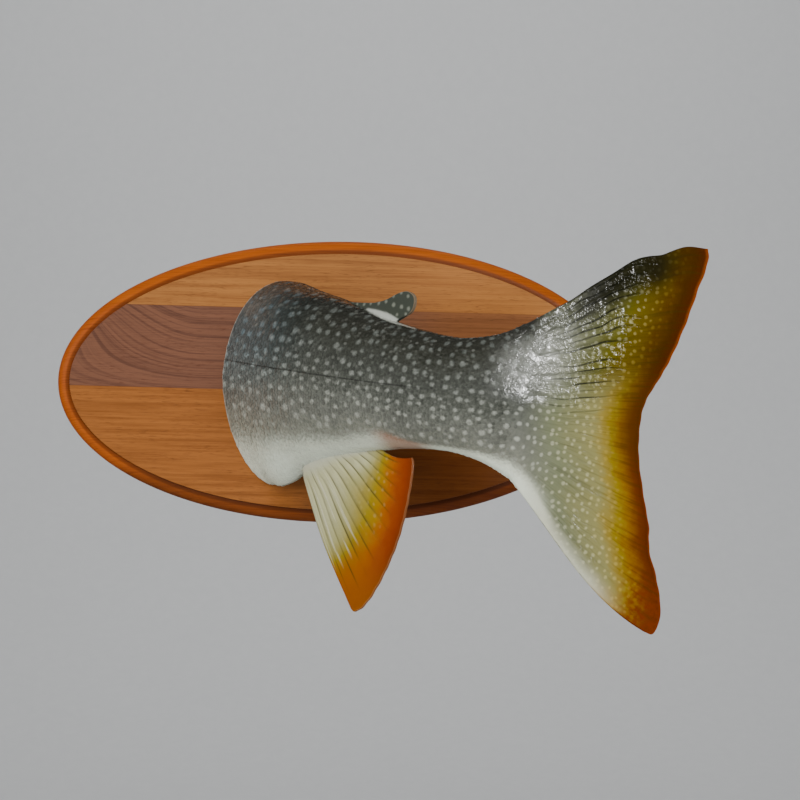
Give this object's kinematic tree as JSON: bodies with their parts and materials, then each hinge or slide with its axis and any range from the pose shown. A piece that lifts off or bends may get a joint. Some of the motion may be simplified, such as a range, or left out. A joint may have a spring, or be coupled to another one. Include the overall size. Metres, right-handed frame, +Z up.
{
  "type": "mounted lake trout tail",
  "caption": "Preserved rear end of a lake trout with adipose, anal and tail fins, curving out of an oval wooden wall plaque; a still wall-hung trophy mount.",
  "frame": {"origin": "centre of the plaque's back face, on the wall", "axes": "+Y into the wall out of the plaque's back face, +X along the plaque's long side towards the tail fin, +Z up"},
  "size_m": [0.4476, 0.1808, 0.2675],
  "materials": {
    "plaque_wood": "walnut strips under clear gloss lacquer",
    "hanger_steel": "zinc-plated pressed steel",
    "fish_skin": "preserved spotted skin, painted and gloss lacquered",
    "anal_fin_skin": "preserved fin, white to orange, gloss lacquered",
    "tail_fin_skin": "preserved fin, grey to orange-brown, gloss lacquered"
  },
  "bodies": {
    "root": {"plaque": "plaque_wood", "hanger": "hanger_steel", "trunk": "fish_skin", "tail_stalk": "fish_skin", "adipose_fin": "fish_skin", "anal_fin": "anal_fin_skin", "tail_fin_upper_lobe": "tail_fin_skin", "tail_fin_lower_lobe": "tail_fin_skin"}
  },
  "joints": []
}
